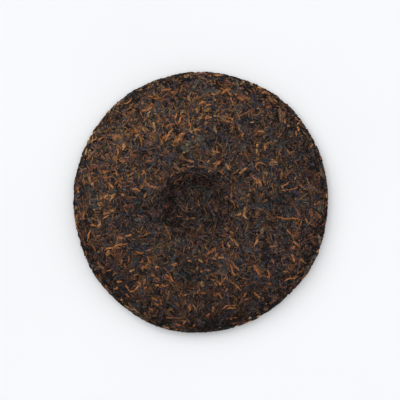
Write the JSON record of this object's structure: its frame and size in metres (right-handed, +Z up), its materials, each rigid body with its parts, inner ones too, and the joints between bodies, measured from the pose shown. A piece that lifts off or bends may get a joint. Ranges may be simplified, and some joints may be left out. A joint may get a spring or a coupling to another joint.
{
  "type": "pressed tea cake",
  "caption": "Round, gently domed disc of pressed tea leaves, slightly out of round, with a broad dimple off the middle of its upper side.",
  "frame": {"origin": "on the table, under the middle of the bounding box", "axes": "+Z up, out of the dimpled side; +Y is the top of the cake in the picture and +X its right"},
  "size_m": [0.1964, 0.202, 0.0248],
  "materials": {
    "pressed_tea": "matt dried leaf, near black to golden brown"
  },
  "bodies": {
    "root": {"tea_cake": "pressed_tea"}
  },
  "joints": []
}
